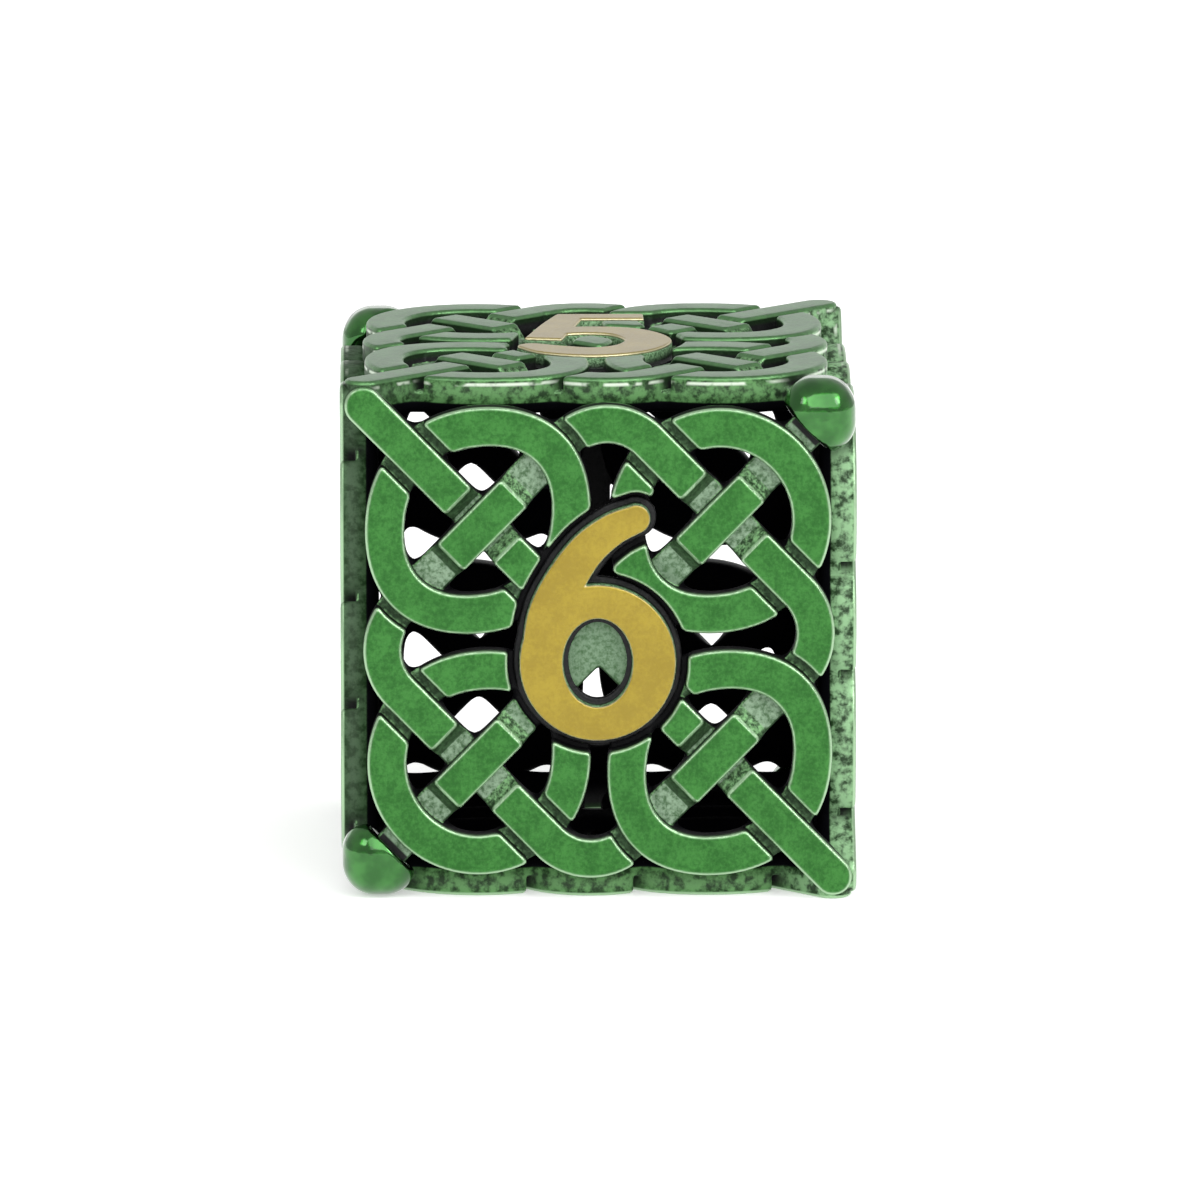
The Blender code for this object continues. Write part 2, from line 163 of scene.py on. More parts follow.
BEADS = (
    ("front_right_top", (1, -1, 1)),
    ("front_left_bottom", (-1, -1, -1)),
    ("back_left_top", (-1, 1, 1)),
    ("back_right_bottom", (1, 1, -1)),
)

# Strokes: a list of (x, y, half width), whether it is curved, and whether its ends are round.
NUMERAL_STROKES = {
    1: (
        (((0.25, -2.95, 0.66), (0.25, 4.15, 0.66)), False, (False, False)),
        (((0.10, 3.55, 0.60), (-0.75, 3.05, 0.55), (-1.40, 2.45, 0.45)), True, (False, True)),
    ),
    2: (
        (((-1.65, 2.35, 0.50), (-1.25, 3.15, 0.58), (-0.30, 3.62, 0.62), (0.85, 3.30, 0.68),
          (1.38, 2.25, 0.70), (0.98, 1.05, 0.68), (0.05, -0.35, 0.66), (-1.00, -1.65, 0.64),
          (-1.55, -2.36, 0.60)), True, (True, False)),
        (((-2.15, -2.38, 0.62), (2.15, -2.38, 0.62)), False, (False, False)),
    ),
    3: (
        (((-1.70, 3.05, 0.48), (-0.80, 3.58, 0.60), (0.35, 3.48, 0.66), (1.15, 2.60, 0.70),
          (0.85, 1.55, 0.66), (-0.35, 1.05, 0.55)), True, (True, True)),
        (((-0.35, 0.95, 0.55), (0.85, 0.70, 0.66), (1.62, -0.35, 0.72), (1.30, -1.65, 0.72),
          (0.10, -2.32, 0.70), (-1.20, -2.02, 0.60), (-2.00, -1.35, 0.45)), True, (True, True)),
    ),
    4: (
        (((0.70, -2.95, 0.64), (0.70, 4.15, 0.64)), False, (False, False)),
        (((0.55, 3.75, 0.52), (-1.85, -0.55, 0.52)), False, (True, True)),
        (((-2.30, -0.95, 0.58), (2.30, -0.95, 0.58)), False, (False, False)),
    ),
    5: (
        (((-1.15, 4.62, 0.46), (1.62, 4.62, 0.46)), False, (False, False)),
        (((-0.72, 4.90, 0.46), (-1.12, 2.95, 0.56), (-1.62, 0.35, 0.60)), True, (False, False)),
        (((-1.30, 1.72, 0.56), (-0.20, 2.02, 0.62), (1.05, 1.62, 0.70), (1.68, 0.10, 0.74),
          (1.15, -1.45, 0.74), (0.00, -2.14, 0.76), (-1.20, -1.76, 0.72),
          (-1.98, -1.02, 0.46)), True, (False, True)),
    ),
    6: (
        (((1.14, 3.78, 0.44), (0.40, 3.45, 0.50), (-0.38, 2.82, 0.56), (-1.06, 1.86, 0.62),
          (-1.56, 0.80, 0.65), (-1.76, -0.40, 0.64)), True, (True, False)),
    ),
}
NUMERAL_OVALS = {6: (((-0.04, -0.64), (2.42, 2.40), (1.08, 1.36)),)}


# ---- the knot ------------------------------------------------------------------------------

def round_max(a, b, radius):
    """What is inside both, with a rounded edge where the two surfaces meet."""
    return (np.minimum(-radius, np.maximum(a, b))
            + np.hypot(np.maximum(radius + a, 0), np.maximum(radius + b, 0)))


def axis_points(low, high, cell):
    return np.arange(low, high + cell, cell, dtype=np.float32) + np.float32(cell * 0.37)


def plate_levels():
    """Heights through a plate: close together at the face and at the floors, wide apart below."""
    bands = ((-PLATE_DEPTH - 0.16, -0.70, 0.09), (-0.70, -0.36, 0.042), (-0.36, -0.18, 0.06),
             (-0.18, 0.07, 0.028))
    return np.concatenate([np.arange(low, high - step / 2, step) for low, high, step in bands]
                          ).astype(np.float32)


def under_top(flat, top, back, z):
    """A strand: its flat field, the height of its top, and the rounding of its back."""
    above = z[None, None, :] - top[:, :, None]
    solid = round_max(flat[:, :, None], above, EDGE_ROUNDING)
    return round_max(solid, -PLATE_DEPTH - z[None, None, :], back)


def trench(solid, flat, depth, z):
    """The solid with a trench of the given depth over the flat shape."""
    cutter = np.maximum(flat[:, :, None], -depth - z[None, None, :])
    return round_max(solid, -cutter, EDGE_ROUNDING)


def ring_mid_distance(s, t, centre, lobes):
    """Signed distance from a ring's mid line, positive outwards."""
    across = s - centre[0]
    along = t - centre[1]
    angle = np.arctan2(along, across)
    radius = np.full_like(s, RING_RADIUS)
    for lobe in lobes:
        radius += RING_BULGE * np.maximum(0, np.cos(angle - lobe)) ** LOBE_SHARPNESS
    return np.hypot(across, along) - radius


def loop_mid_distance(s, t):
    radius = LOOP_CORNER_RADIUS
    out_s = np.abs(s) - (LOOP_HALF_LENGTH - radius)
    out_t = np.abs(t) - (LOOP_HALF_WIDTH - radius)
    outside = np.hypot(np.maximum(out_s, 0), np.maximum(out_t, 0))
    return outside + np.minimum(np.maximum(out_s, out_t), 0) - radius


def loop_top(s, t):
    radius = LOOP_CORNER_RADIUS
    hidden = RING_RADIUS + RING_BULGE
    long_side = np.interp(np.abs(s), (BRIDGE_TOP, BRIDGE_FLOOR, hidden - RING_WIDTH / 4, hidden),
                          (0, -RELIEF, -RELIEF, 0))
    short_side = np.interp(np.abs(t), (LOOP_DIVE_FLOOR, LOOP_DIVE_TOP), (-RELIEF, 0))
    on_long = np.abs(t) - (LOOP_HALF_WIDTH - radius) > np.abs(s) - (LOOP_HALF_LENGTH - radius)
    return np.where(on_long, long_side, short_side)


def main_diagonal(s, t, back, z):
    end = (HALF - DIAGONAL_WIDTH / 2) * math.sqrt(2) - TIP_INSET
    flat = np.hypot(s, np.maximum(np.abs(t) - end, 0)) - DIAGONAL_WIDTH / 2
    stops = (DIAGONAL_DIVE_FLOOR, DIAGONAL_DIVE_TOP,
             LOOP_HALF_WIDTH - DIAGONAL_DIVE_TOP, LOOP_HALF_WIDTH - DIAGONAL_DIVE_FLOOR,
             LOOP_HALF_WIDTH + DIAGONAL_DIVE_FLOOR, LOOP_HALF_WIDTH + DIAGONAL_DIVE_TOP)
    top = np.interp(np.abs(t), stops, (-RELIEF, 0, 0, -RELIEF, -RELIEF, 0))
    return under_top(flat, top, back, z)


def cross_diagonal(s, t, back, z):
    ring_distance = RING_OFFSET * math.sqrt(2)
    end = (HALF - BEAD_RADIUS) * math.sqrt(2)
    flat = np.maximum(np.abs(t) - DIAGONAL_WIDTH / 2, np.abs(s) - end)
    stops = (DIAGONAL_DIVE_FLOOR, DIAGONAL_DIVE_TOP,
             ring_distance - BRIDGE_FLOOR, ring_distance - BRIDGE_TOP,
             ring_distance + BRIDGE_TOP, ring_distance + BRIDGE_FLOOR)
    top = np.interp(np.abs(s), stops, (0, -RELIEF, -RELIEF, 0, 0, -RELIEF))
    return under_top(flat, top, back, z)


def knot_field(x, y, z, turned):
    """One plate without its moat; turned by a quarter where the numeral stands across the knot."""
    if turned:
        x, y = y, -x
    s = (x + y) / math.sqrt(2)
    t = (y - x) / math.sqrt(2)
    ring_distance = RING_OFFSET * math.sqrt(2)
    level = np.zeros_like(s)
    reach = np.maximum(np.abs(x), np.abs(y))
    back = np.interp(reach, (ROUND_BACK_REACH, SHARP_BACK_REACH), (BACK_ROUNDING, SHARP_BACK))
    back = back[:, :, None]
    loop = np.abs(loop_mid_distance(s, t)) - LOOP_STRAND_WIDTH / 2
    loop = under_top(loop, loop_top(s, t), back, z)
    knot = np.minimum(main_diagonal(s, t, back, z), cross_diagonal(s, t, back, z))
    for sign in (-1, 1):
        middle = ring_mid_distance(s, t, (0, sign * ring_distance), (0, math.pi))
        ring = under_top(np.abs(middle) - RING_WIDTH / 2, level, back, z)
        ring = trench(ring, np.abs(s) - DIAGONAL_WIDTH / 2 - CROSSING_GAP, TRENCH_DEPTH, z)
        around = np.maximum(middle - RING_WIDTH / 2 - CROSSING_GAP, -middle)
        loop = trench(loop, around, TRENCH_DEPTH, z)
        knot = np.minimum(knot, ring)
        lobe = math.pi if sign > 0 else 0
        middle = ring_mid_distance(s, t, (sign * ring_distance, 0), (lobe,))
        ring = under_top(np.abs(middle) - RING_WIDTH / 2, level, back, z)
        side = np.abs(s - sign * LOOP_HALF_LENGTH) - LOOP_STRAND_WIDTH / 2 - CROSSING_GAP
        knot = np.minimum(knot, trench(ring, side, TRENCH_DEPTH, z))
    return soften(np.minimum(knot, loop), z)


def soften(field, z):
    """Rounds the corners of the openings towards the back of a plate."""
    reach = round(SOFT_REACH / PLATE_CELL)
    soft = field
    for axis in (0, 1, 0, 1):
        widths = [(reach + 1, reach) if other == axis else (0, 0) for other in range(3)]
        total = np.cumsum(np.pad(soft, widths, mode="edge"), axis=axis, dtype=np.float64)
        ahead = np.moveaxis(total, axis, 0)
        soft = np.moveaxis(ahead[2 * reach + 1:] - ahead[:-2 * reach - 1], 0, axis) / (2 * reach + 1)
    share = np.interp(z, (SOFT_FULL, SOFT_START), (1, 0))
    return field + (soft + SOFT_SHRINK - field) * share


def cube_trim(x, y, z):
    """The rounded cube, cut by the mitre planes with a little overlap, in face coordinates."""
    out_x = np.abs(x)[:, :, None] - (HALF - CUBE_ROUNDING)
    out_y = np.abs(y)[:, :, None] - (HALF - CUBE_ROUNDING)
    out_z = z[None, None, :] + CUBE_ROUNDING
    rounded = np.sqrt(np.maximum(out_x, 0) ** 2 + np.maximum(out_y, 0) ** 2
                      + np.maximum(out_z, 0) ** 2) - CUBE_ROUNDING
    reach = np.maximum(np.abs(x), np.abs(y))[:, :, None]
    mitre = (reach - (HALF + z[None, None, :] + SEAM_OVERLAP)) / math.sqrt(2)
    return np.maximum(rounded, mitre)


# ---- numerals ------------------------------------------------------------------------------

def smooth_points(points):
    """Catmull-Rom points through (x, y, half width) triples."""
    known = np.array(points)
    padded = np.vstack((2 * known[0] - known[1], known, 2 * known[-1] - known[-2]))
    result = []
    for index in range(1, len(padded) - 2):
        before, start, end, after = padded[index - 1:index + 3]
        for step in range(CURVE_STEPS):
            u = step / CURVE_STEPS
            result.append(0.5 * (2 * start + (end - before) * u
                                 + (2 * before - 5 * start + 4 * end - after) * u ** 2
                                 + (3 * start - before - 3 * end + after) * u ** 3))
    result.append(padded[-2])
    return np.array(result)


def stroke_field(x, y, points, curved, round_ends):
    line = smooth_points(points) if curved else np.array(points)
    lengths = np.hypot(*(line[1:, :2] - line[:-1, :2]).T)
    travelled = np.concatenate(((0,), np.cumsum(lengths)))
    result = np.full_like(x, 1e3)
    for index in range(len(lengths)):
        start = line[index]
        step = line[index + 1] - start
        along = ((x - start[0]) * step[0] + (y - start[1]) * step[1]) / lengths[index] ** 2
        along = np.clip(along, 0, 1)
        part = np.hypot(x - start[0] - along * step[0], y - start[1] - along * step[1])
        part = part - (start[2] + along * step[2])
        for end_is_round, end, inner, distance in (
                (round_ends[0], line[0], line[1], travelled[index]),
                (round_ends[1], line[-1], line[-2], travelled[-1] - travelled[index + 1])):
            if not end_is_round and distance < end[2] * 1.5:
                outward = (end[:2] - inner[:2]) / np.hypot(*(end[:2] - inner[:2]))
                part = np.maximum(part, (x - end[0]) * outward[0] + (y - end[1]) * outward[1])
        result = np.minimum(result, part)
    return result


def ellipse_field(x, y, centre, half_axes):
    across = (x - centre[0]) / half_axes[0]
    along = (y - centre[1]) / half_axes[1]
    reach = np.hypot(across, along)
    slope = np.hypot(across / half_axes[0], along / half_axes[1])
    return reach * (reach - 1) / np.maximum(slope, 1e-6)


def counter_field(number, x, y):
    """The inside of the numeral's counters."""
    field = np.full_like(x, 1e3)
    for centre, outer, inner in NUMERAL_OVALS.get(number, ()):
        field = np.minimum(field, ellipse_field(x, y, centre, inner))
    return field


def numeral_field(number, x, y):
    field = np.full_like(x, 1e3)
    for points, curved, round_ends in NUMERAL_STROKES[number]:
        field = np.minimum(field, stroke_field(x, y, points, curved, round_ends))
    for centre, outer, inner in NUMERAL_OVALS.get(number, ()):
        oval = np.maximum(ellipse_field(x, y, centre, outer), -ellipse_field(x, y, centre, inner))
        field = np.minimum(field, oval)
    return field


# ---- from a field to a mesh ----------------------------------------------------------------

CORNERS = [(i, j, k) for i in (0, 1) for j in (0, 1) for k in (0, 1)]


def surface_net(field, axes):
    """Vertices and quads of the field's zero surface: one vertex in each cell it crosses."""
    inside = field < 0
    shape = tuple(length - 1 for length in field.shape)
    count = np.zeros(shape, dtype=np.int8)
    for i, j, k in CORNERS:
        count += inside[i:i + shape[0], j:j + shape[1], k:k + shape[2]]
    cells = np.argwhere((count > 0) & (count < 8))
    number = np.full(shape, -1, dtype=np.int32)
    number[tuple(cells.T)] = np.arange(len(cells))
    total = np.zeros((len(cells), 3))
    crossings = np.zeros(len(cells))
    for axis in range(3):
        for corner in CORNERS:
            if corner[axis]:
                continue
            first = cells + corner
            second = first.copy()
            second[:, axis] += 1
            a = field[tuple(first.T)]
            b = field[tuple(second.T)]
            crossed = (a < 0) != (b < 0)
            offset = np.array(corner, dtype=float)[None, :].repeat(len(cells), 0)
            offset[:, axis] = np.where(crossed, a / np.where(crossed, a - b, 1), 0)
            total += offset * crossed[:, None]
            crossings += crossed
    place = cells + total / crossings[:, None]
    vertices = np.empty_like(place)
    for axis in range(3):
        vertices[:, axis] = np.interp(place[:, axis], np.arange(len(axes[axis])), axes[axis])
    quads = []
    for axis in range(3):
        after = (axis + 1) % 3
        last = (axis + 2) % 3
        low = [slice(None)] * 3
        high = [slice(None)] * 3
        low[axis] = slice(0, -1)
        high[axis] = slice(1, None)
        for other in (after, last):
            low[other] = slice(1, -1)
            high[other] = slice(1, -1)
        a = inside[tuple(low)]
        b = inside[tuple(high)]
        for edges, flip in ((np.argwhere(a & ~b), False), (np.argwhere(~a & b), True)):
            if not len(edges):
                continue
            edges[:, after] += 1
            edges[:, last] += 1
            ring = []
            for back_after, back_last in ((1, 1), (0, 1), (0, 0), (1, 0)):
                cell = edges.copy()
                cell[:, after] -= back_after
                cell[:, last] -= back_last
                ring.append(number[tuple(cell.T)])
            quad = np.stack(ring, 1)
            quads.append(quad[:, ::-1] if flip else quad)
    return vertices, np.concatenate(quads)


def mesh_object(name, vertices, quads, place, keep):
    """A smooth piece from a surface net, thinned where it is flat, moved to its place."""
    mesh = bpy.data.meshes.new(name)
    mesh.vertices.add(len(vertices))
    mesh.vertices.foreach_set("co", (vertices * MM).astype(np.float32).ravel())
    mesh.loops.add(quads.size)
    mesh.loops.foreach_set("vertex_index", quads.astype(np.int32).ravel())
    mesh.polygons.add(len(quads))
    mesh.polygons.foreach_set("loop_start", np.arange(0, quads.size, 4, dtype=np.int32))
    mesh.update(calc_edges=True)
    mesh.validate()
    piece = bpy.data.objects.new(name, mesh)
    bpy.context.scene.collection.objects.link(piece)
    thin = piece.modifiers.new("thin", 'DECIMATE')
    thin.ratio = keep
    graph = bpy.context.evaluated_depsgraph_get()
    piece.data = bpy.data.meshes.new_from_object(piece.evaluated_get(graph))
    piece.modifiers.clear()
    piece.data.transform(Matrix.Diagonal((1, 1, TALLER, 1)) @ place)
    piece.data.shade_smooth()
    weighted = piece.modifiers.new("flat faces stay flat", 'WEIGHTED_NORMAL')
    weighted.weight = 50
    return piece


# ---- materials -----------------------------------------------------------------------------

class Nodes:
    """A short way to build a material's node tree."""

    def __init__(self, name):
        self.material = bpy.data.materials.new(name)
        self.material.use_nodes = True
        self.tree = self.material.node_tree
        self.shader = self.tree.nodes["Principled BSDF"]

    def add(self, kind, **inputs):
        node = self.tree.nodes.new(kind)
        for name, value in inputs.items():
            self.feed(node, name.replace("_", " "), value)
        return node

    def feed(self, node, name, value):
        socket = node.inputs[name] if not name.isdigit() else node.inputs[int(name)]
        if isinstance(value, bpy.types.NodeSocket):
            self.tree.links.new(value, socket)
        else:
            socket.default_value = value

    def math(self, operation, first, second=0.0, clamp=False):
        node = self.tree.nodes.new("ShaderNodeMath")
        node.operation = operation
        node.use_clamp = clamp
        self.feed(node, "0", first)
        self.feed(node, "1", second)
        return node.outputs[0]

    def ramp(self, value, low, high, from_value=0.0, to_value=1.0):
        node = self.tree.nodes.new("ShaderNodeMapRange")
        node.interpolation_type = 'SMOOTHSTEP'
        for name, setting in (("Value", value), ("From Min", low), ("From Max", high),
                              ("To Min", from_value), ("To Max", to_value)):
            self.feed(node, name, setting)
        return node.outputs["Result"]

    def mix(self, factor, first, second):
        node = self.tree.nodes.new("ShaderNodeMix")
        node.data_type = 'RGBA'
        self.feed(node, "0", factor)
        self.feed(node, "6", first)
        self.feed(node, "7", second)
        return node.outputs[2]

    def noise(self, scale, detail=2.0, roughness=0.5):
        node = self.add("ShaderNodeTexNoise", Vector=self.position(), Scale=scale, Detail=detail,
                        Roughness=roughness)
        return node.outputs["Fac"]

    def position(self):
        """Object coordinates in millimetres, the same for every piece."""
        if not hasattr(self, "place"):
            coordinates = self.tree.nodes.new("ShaderNodeTexCoord")
            scaled = self.tree.nodes.new("ShaderNodeVectorMath")
            scaled.operation = 'MULTIPLY'
            self.feed(scaled, "0", coordinates.outputs["Object"])
            self.feed(scaled, "1", (1 / MM, 1 / MM, 1 / (MM * TALLER)))
            self.place = scaled.outputs[0]
        return self.place

    def normal(self):
        return self.add("ShaderNodeNewGeometry").outputs["Normal"]

    def sizes(self):
        """How far the place lies from the die's centre along each axis."""
        place = self.apart(self.position())
        return [self.math('ABSOLUTE', place[index]) for index in range(3)]

    def depths(self):
        """Millimetres below the nearest face of the cube, the next nearest and the third."""
        sizes = self.sizes()
        larger = self.math('MAXIMUM', sizes[0], sizes[1])
        smaller = self.math('MINIMUM', sizes[0], sizes[1])
        largest = self.math('MAXIMUM', larger, sizes[2])
        middle = self.math('MAXIMUM', smaller, self.math('MINIMUM', larger, sizes[2]))
        smallest = self.math('MINIMUM', smaller, sizes[2])
        return [self.math('SUBTRACT', HALF, size) for size in (largest, middle, smallest)]

    def facing(self):
        """1 where the surface faces squarely out of the cube's nearest face, 0 on its walls."""
        normal = self.apart(self.normal())
        sizes = self.sizes()
        total = 0.0
        for index in range(3):
            others = self.math('MAXIMUM', sizes[index - 1], sizes[index - 2])
            nearest = self.math('GREATER_THAN', sizes[index], others)
            outward = self.math('ABSOLUTE', normal[index])
            total = self.math('ADD', self.math('MULTIPLY', nearest, outward), total)
        return total

    def bump(self, height, distance):
        return self.add("ShaderNodeBump", Height=height, Distance=distance * MM).outputs["Normal"]

    def apart(self, vector):
        """The X, Y and Z of a vector."""
        return self.add("ShaderNodeSeparateXYZ", Vector=vector).outputs

    def product(self, first, *others):
        for other in others:
            first = self.math('MULTIPLY', first, other)
        return first


GREEN = (0.043, 0.215, 0.033, 1)
GREEN_DARK = (0.013, 0.118, 0.010, 1)
# pale edges: partly wear, partly painted highlight
WORN_EDGE_AND_HIGHLIGHT = (0.40, 0.60, 0.37, 1)
# painted highlight: a pale streak on the walls under the top edges
PAINTED_HIGHLIGHT_STREAK = (0.68, 0.78, 0.64, 1)
# the walls' painted light and shade: lit, half shaded and shaded copies of one green
WALL_LIT = (0.270, 0.480, 0.250, 1)
WALL_HALF_SHADED = (0.118, 0.285, 0.098, 1)
WALL_SHADED = (0.050, 0.100, 0.047, 1)
WALL_DARK = (0.014, 0.042, 0.012, 1)
RAMP = (0.055, 0.125, 0.050, 1)
# painted light: the slope colour where slopes face up
RAMP_LIT = (0.260, 0.520, 0.230, 1)
RAMP_DARK = (0.020, 0.052, 0.018, 1)
FLOOR = (0.260, 0.380, 0.255, 1)
COUNTER_FLOOR = (0.165, 0.262, 0.162, 1)
# painted shade: black in the hollows, the moats and the inside
SHADE_BLACK = (0.003, 0.003, 0.004, 1)
GOLD = (0.395, 0.290, 0.016, 1)
GOLD_DARK = (0.305, 0.215, 0.008, 1)
# painted highlight along the gold's edges
GOLD_EDGE_HIGHLIGHT = (0.700, 0.640, 0.380, 1)


def wall_colour(make, depths, at_edge, blotch, coarse):
    """Mottled walls at the cube's edges, with painted shade and light: darker on the left, lighter on
    the right and black on the front and back plates, and a broken painted highlight streak under the
    top ones.
    """
    depth, _, last_depth = depths
    place = make.apart(make.position())
    # painted shade and light: the walls are darker towards the left and lighter towards the right
    wear_and_side_shade = make.mix(make.ramp(place["X"], -7.8, -5.0), WALL_SHADED, WALL_HALF_SHADED)
    wear_and_side_shade = make.mix(make.ramp(place["X"], 5.0, 7.5), wear_and_side_shade, WALL_LIT)
    wall = make.mix(make.ramp(blotch, 0.34, 0.62), WALL_DARK, wear_and_side_shade)
    # painted highlight: a broken pale streak on the walls just under the top edges
    highlight_streak = make.product(make.ramp(depth, 0.13, 0.19), make.ramp(depth, 0.29, 0.21),
                          make.ramp(place["Z"], 7.0, 7.3), make.ramp(coarse, 0.40, 0.52),
                          make.ramp(last_depth, 0.9, 1.4))
    wall = make.mix(highlight_streak, wall, PAINTED_HIGHLIGHT_STREAK)
    # painted shade: the walls of the front and back plates at the cube's edges are black
    across, along, upward = make.sizes()
    ahead = make.math('SUBTRACT', along, make.math('MAXIMUM', across, upward))
    wall = make.mix(make.ramp(ahead, 0.22, 0.32), wall, SHADE_BLACK)
    # painted shade: walls away from the cube's edges go dark and then black with depth
    return make.mix(at_edge, make.mix(make.ramp(depth, 0.13, 0.32), RAMP_DARK, SHADE_BLACK), wall)


def slope_and_floor(make, depths, speck):
    """Speckled slopes, brighter where they face up as painted light, and the floors beside the
    crossings, painted black as shade beside the beads.
    """
    depth, next_depth, last_depth = depths
    # painted light: slopes that face up are brighter
    upward = make.ramp(make.apart(make.normal())["Z"], -0.1, 0.45)
    slope = make.mix(make.ramp(speck, 0.35, 0.70), RAMP_DARK, make.mix(upward, RAMP, RAMP_LIT))
    wear_and_side_shade = make.ramp(speck, 0.30, 0.64)
    floor = make.mix(wear_and_side_shade, RAMP, FLOOR)
    # painted shade: the floor beside the beads is black
    beside_bead = make.math('ADD', next_depth, last_depth)
    floor = make.mix(make.ramp(beside_bead, 3.42, 3.32), floor, SHADE_BLACK)
    floor = make.mix(make.ramp(depth, 0.43, 0.48), floor, slope)
    counter = make.mix(wear_and_side_shade, RAMP, COUNTER_FLOOR)
    return slope, make.mix(make.ramp(next_depth, 5.2, 5.8), floor, counter)


def green_plating():
    """Satin green strands with pale edges that are partly wear and partly painted highlight, mottled
    walls with painted shade, and a black inside painted as shade.
    """
    make = Nodes("green_plating")
    depths = make.depths()
    depth, next_depth, _ = depths
    fine = make.noise(7.0, 3.0, 0.65)
    coarse = make.noise(1.6, 2.0)
    speck = make.noise(6.5, 3.0, 0.7)
    blotch = make.noise(3.4, 3.0, 0.6)
    cloud = make.math('ADD', make.math('MULTIPLY', fine, 0.6), make.math('MULTIPLY', coarse, 0.4))
    grain = make.math('ADD', make.math('MULTIPLY', fine, 0.6), make.math('MULTIPLY', speck, 0.4))
    top = make.mix(make.ramp(cloud, 0.36, 0.66), GREEN_DARK, GREEN)
    at_edge = make.ramp(next_depth, 1.7, 1.2)
    wall = wall_colour(make, depths, at_edge, blotch, coarse)
    slope, floor = slope_and_floor(make, depths, speck)
    facing = make.facing()
    sunk = make.mix(make.ramp(facing, 0.30, 0.55), wall, slope)
    sunk = make.mix(make.ramp(facing, 0.82, 0.95), sunk, floor)
    # painted shade: deeper than about half a millimetre the inside turns black, apart from the walls
    # at the cube's edges, and everything deeper than 0.8 mm is black
    sunk = make.mix(make.ramp(depth, 0.55, 0.60), sunk, make.mix(at_edge, SHADE_BLACK, wall))
    sunk = make.mix(make.ramp(depth, 0.77, 0.83), sunk, SHADE_BLACK)
    colour = make.mix(make.ramp(depth, 0.06, 0.13), top, sunk)
    # pale rims along the strands' top edges, partly wear and partly painted highlight, weaker on the
    # top face
    on_top = make.ramp(make.apart(make.position())["Z"], 7.7, 7.85)
    worn_edge_and_highlight = make.product(make.ramp(depth, 0.002, 0.030), make.ramp(depth, 0.13, 0.07),
                       make.math('SUBTRACT', 0.9, make.math('MULTIPLY', on_top, 0.7)))
    colour = make.mix(worn_edge_and_highlight, colour, WORN_EDGE_AND_HIGHLIGHT)
    shader = make.shader
    make.feed(shader, "Base Color", colour)
    make.feed(shader, "Roughness", make.ramp(depth, 0.05, 0.4, 0.34, 0.65))
    make.feed(shader, "Normal", make.bump(grain, 0.03))
    make.feed(shader, "Metallic", make.ramp(depth, 0.05, 0.4, 0.85, 0.15))
    make.feed(shader, "Coat Weight", make.ramp(depth, 0.03, 0.15, 0.40, 0.0))
    make.feed(shader, "Specular IOR Level", make.ramp(depth, 0.3, 0.9, 0.5, 0.0))
    shader.inputs["Coat Roughness"].default_value = 0.30
    return make.material


def numeral_side():
    """The numeral's wall is speckled pale green in painted light near the gold, and painted black as
    shade down in its moat.
    """
    make = Nodes("dark_green_plating")
    speck = make.noise(12.0, 3.0, 0.6)
    depth = make.depths()[0]
    colour = make.mix(make.ramp(speck, 0.35, 0.65), RAMP, WALL_LIT)
    # painted shade: the wall goes black down in the moat
    colour = make.mix(make.ramp(depth, 0.18, 0.46), colour, SHADE_BLACK)
    shader = make.shader
    make.feed(shader, "Base Color", colour)
    make.feed(shader, "Roughness", make.ramp(speck, 0.3, 0.7, 0.4, 0.6))
    make.feed(shader, "Normal", make.bump(speck, 0.03))
    shader.inputs["Metallic"].default_value = 0.3
    return make.material


def gold_enamel():
    make = Nodes("gold_enamel")
    fine = make.noise(8.0, 3.0, 0.65)
    coarse = make.noise(1.2, 2.0)
    depth = make.depths()[0]
    cloud = make.math('ADD', make.math('MULTIPLY', fine, 0.5), make.math('MULTIPLY', coarse, 0.5))
    colour = make.mix(make.ramp(cloud, 0.38, 0.66), GOLD_DARK, GOLD)
    # painted highlight: a pale line along the gold's edges
    colour = make.mix(make.ramp(depth, 0.006, 0.040), colour, GOLD_EDGE_HIGHLIGHT)
    shader = make.shader
    make.feed(shader, "Base Color", colour)
    make.feed(shader, "Roughness", make.ramp(fine, 0.3, 0.7, 0.34, 0.46))
    make.feed(shader, "Normal", make.bump(fine, 0.02))
    shader.inputs["Metallic"].default_value = 0.85
    shader.inputs["Coat Weight"].default_value = 0.80
    shader.inputs["Coat Roughness"].default_value = 0.30
    return make.material


def bead_plating():
    """The beads are polished, with a slow waviness in the plating."""
    make = Nodes("bead_green_plating")
    slow = make.noise(1.5, 2.0, 0.5)
    colour = make.mix(make.ramp(slow, 0.35, 0.7), GREEN_DARK, GREEN)
    shader = make.shader
    make.feed(shader, "Base Color", colour)
    make.feed(shader, "Roughness", make.ramp(slow, 0.3, 0.7, 0.14, 0.20))
    make.feed(shader, "Normal", make.bump(slow, 0.05))
    shader.inputs["Metallic"].default_value = 1.0
    shader.inputs["Coat Weight"].default_value = 1.0
    shader.inputs["Coat Roughness"].default_value = 0.08
    return make.material


# ---- pieces --------------------------------------------------------------------------------

def face_matrix(normal, up):
    """Turns a face's own coordinates into its place on the cube."""
    outward = Vector(normal)
    upward = Vector(up)
    rightward = upward.cross(outward)
    turn = Matrix((rightward, upward, outward)).transposed().to_4x4()
    return Matrix.Translation(outward * HALF * MM) @ turn


def is_turned(normal, up):
    """True where the numeral's top left corner is a bead's and not a strand's."""
    outward = Vector(normal)
    upward = Vector(up)
    corner = outward + upward - upward.cross(outward)
    return corner.x * corner.y * corner.z < 0


